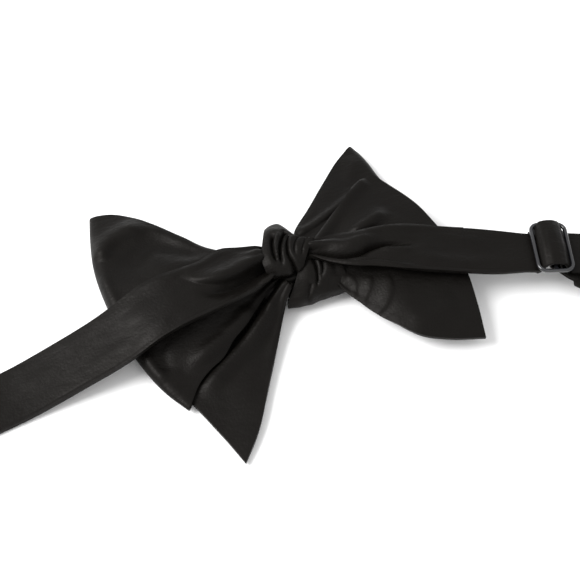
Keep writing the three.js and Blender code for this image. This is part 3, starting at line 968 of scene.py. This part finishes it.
buckleFacts = {"length": 20.4, "width": 12.4, "corner": 2.8, "wire": 0.75}
frameLine = roundedFrame(buckleFacts["length"], buckleFacts["width"], buckleFacts["corner"])
reach = buckleFacts["length"] / 2
barLine = [(0, reach * (2 * step / 12 - 1), 0) for step in range(13)]
wirePiece(
    "slideBuckle", ((frameLine, True), (barLine, False)), buckleFacts["wire"], ("slide_buckle",), "slide",
    adjust, bar, 0.2, skew=True,
)

# Strands between the buckle and the hook.
hookBar, hookLevel = 195, -3.05
strandFacts = {
    "outer": {
        "line": [(99, -2.3), (104, -2.1), (140, -2.3), (182, -2.0), (185, -1.9)],
        "drift": [(99, 0.6), (185, 0)],
    },
    "back": {
        "line": [(100, -4.2), (106, -4.5), (120, -5.4), (140, -5.6), (165, -5.0), (182, -4.4), (185, -4.4)],
        "drift": [(99, -2.6), (105, -5.4), (111, -7.6), (118, -8.8), (135, -6.5), (160, -2), (185, 0)],
    },
}


def strandCloth(facts, start, end, half, seed):
    def place(u, v):
        a = start + (end - start) * u
        c = half * (2 * v - 1)
        h = table(facts["line"], a) + 0.16 * crumple(a, c, 14, seed)
        return adjust.spot(a, c + table(facts["drift"], a), h), np.column_stack([a, c])

    return place


for name, key, node, seed in (
    ("outerStrand", "outer", "outer_strap_strand", 51),
    ("returnStrand", "back", "return_strap_strand", 53),
):
    start = 99.5 if key == "outer" else 100.5
    addStrap(
        name, strandCloth(strandFacts[key], start, 184.5, 8.7, seed), 120, 30, 1.4, 0.45,
        satin, "black_satin", (node,),
        bend=("slide", "hook_end", adjust.point(start + 4, 0, -3), adjust.point(180, 0, -3)),
        cut=(17.4, 86, "laid", ("floor",)),
    )

# Turned ends round the hook's and the eye's bars.
eyeBar, eyeLevel = 186, -12.85
turnedFacts = {
    "hookFold": [
        (-13, -0.2), (-9, 0.6), (-4, 1.6), (-1.2, 2.1), (0.8, 2.0), (2.1, 1.0), (2.4, 0), (2.1, -1.0),
        (0.8, -2.0), (-1.2, -2.1), (-4, -2.0), (-9, -2.0), (-13, -2.0),
    ],
    "eyeFold": [
        (-13, 1.4), (-8, 1.45), (-3, 1.8), (-1, 2.1), (0.8, 2.0), (2.1, 1.0), (2.4, 0), (2.1, -1.0),
        (0.8, -1.8), (-1, -1.7), (-4, -1.5), (-8, -1.4), (-13, -1.4),
    ],
}
hookPath = [(a, h + hookLevel) for a, h in turnedFacts["hookFold"]]
addStrap(
    "hookFold", turnedCloth(adjust, hookPath, hookBar, 8.2, 61), 100, 30, 0.7, 0.25,
    satin, "black_satin", ("hook_fold",), body="hook_end", cut=(16.4, 33, "folded", ("hook",)),
)
eyePath = [(a, h + eyeLevel) for a, h in turnedFacts["eyeFold"]]
addStrap(
    "eyeFold", turnedCloth(plain, eyePath, eyeBar, 9.8, 63), 100, 30, 0.7, 0.25,
    satin, "black_satin", ("eye_fold",), body="left_strap", cut=(19.6, 33, "folded", ("eye_ring",)),
)
addStrap(
    "eyeTack", tackCloth(plain, 177.5, eyeLevel + 1.95, 6.5), 6, 110, 0.3, 0,
    thread, "black_thread", ("eye_bar_tack",), body="left_strap",
)
for node in ("eye_ring", "hook"):
    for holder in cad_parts[node].material_slots:
        holder.material = enamel
print("buckle, hook and eye made")

# Floor
floorMesh = bmesh.new()
bmesh.ops.create_grid(floorMesh, x_segments=2, y_segments=2, size=4)
floorData = bpy.data.meshes.new("floor")
floorMesh.to_mesh(floorData)
floorMesh.free()
floor = bpy.data.objects.new("floor", floorData)
scene.collection.objects.link(floor)
paper, paperTree, paperShader = newMaterial("white paper backdrop")
paperPlace = addNode(paperTree, "TexCoord")
paperTone = addNode(paperTree, "TexNoise", {"Vector": paperPlace.outputs["Object"], "Scale": 3})
paperShade = addNode(
    paperTree,
    "Mix",
    {"Factor": paperTone.outputs[0], "A": linear("#fbfbfb"), "B": linear("#ffffff")},
    data_type="RGBA",
)
paperTree.links.new(paperShade.outputs[2], paperShader.inputs["Base Color"])
paperShader.inputs["Roughness"].default_value = 0.9
paperShader.inputs["Specular IOR Level"].default_value = 0.1
floorData.materials.append(paper)

bpy.context.view_layer.update()
